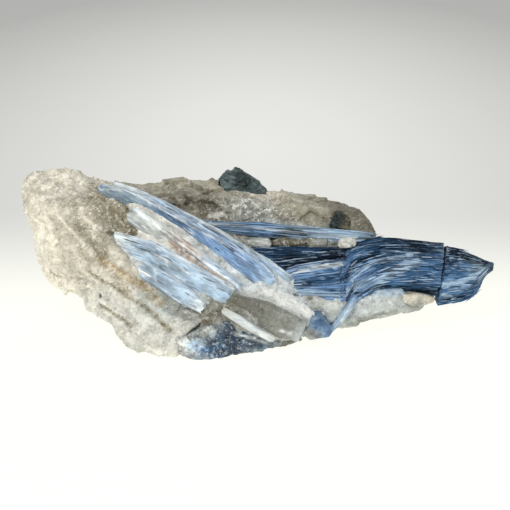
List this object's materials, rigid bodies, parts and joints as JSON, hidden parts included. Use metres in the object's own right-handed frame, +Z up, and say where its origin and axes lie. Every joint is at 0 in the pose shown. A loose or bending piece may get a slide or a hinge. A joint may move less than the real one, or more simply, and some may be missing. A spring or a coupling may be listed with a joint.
{
  "type": "kyanite blade cluster",
  "caption": "Natural cluster of blue kyanite blades and fibrous bundles grown through milky and smoky quartz; a display stone that rests on its own rough underside.",
  "frame": {"origin": "middle of the cluster's box, on the surface that it stands on", "axes": "+X towards the pointed tip of the dark bundles, -Y the side with the diagonal blades, +Z up"},
  "size_m": [0.1316, 0.057, 0.0434],
  "materials": {
    "milky_quartz": "broken, granular and glinting; cream on the left, smoky brown along the back",
    "clear_quartz": "translucent grey white, glassy on its cleaved faces",
    "pale_kyanite": "pearly light grey blue, striated along the blade",
    "blue_kyanite": "glassy sky blue, streaked white along the blade",
    "dark_kyanite": "silky navy and steel blue fibres with white streaks",
    "dark_mica": "green black flakes with a soft sparkle",
    "cream_feldspar": "dull cream, broken"
  },
  "bodies": {
    "root": {"quartz_matrix": "milky_quartz", "left_grain": "milky_quartz", "right_grain": "milky_quartz", "grey_blade": "clear_quartz", "white_blade": "clear_quartz", "white_splinter": "clear_quartz", "rim_blade": "pale_kyanite", "pale_blade": "pale_kyanite", "lower_blade": "pale_kyanite", "lowest_blade": "pale_kyanite", "curled_blade": "pale_kyanite", "upper_blade": "blue_kyanite", "blue_stub": "blue_kyanite", "main_bundle": "dark_kyanite", "tip_bundle": "dark_kyanite", "fan_bundle": "dark_kyanite", "shadow_bundle": "dark_kyanite", "back_blade": "dark_kyanite", "dark_foot": "dark_kyanite", "mica_knob": "dark_mica", "mica_spot": "dark_mica", "cream_lens": "cream_feldspar"}
  },
  "joints": []
}
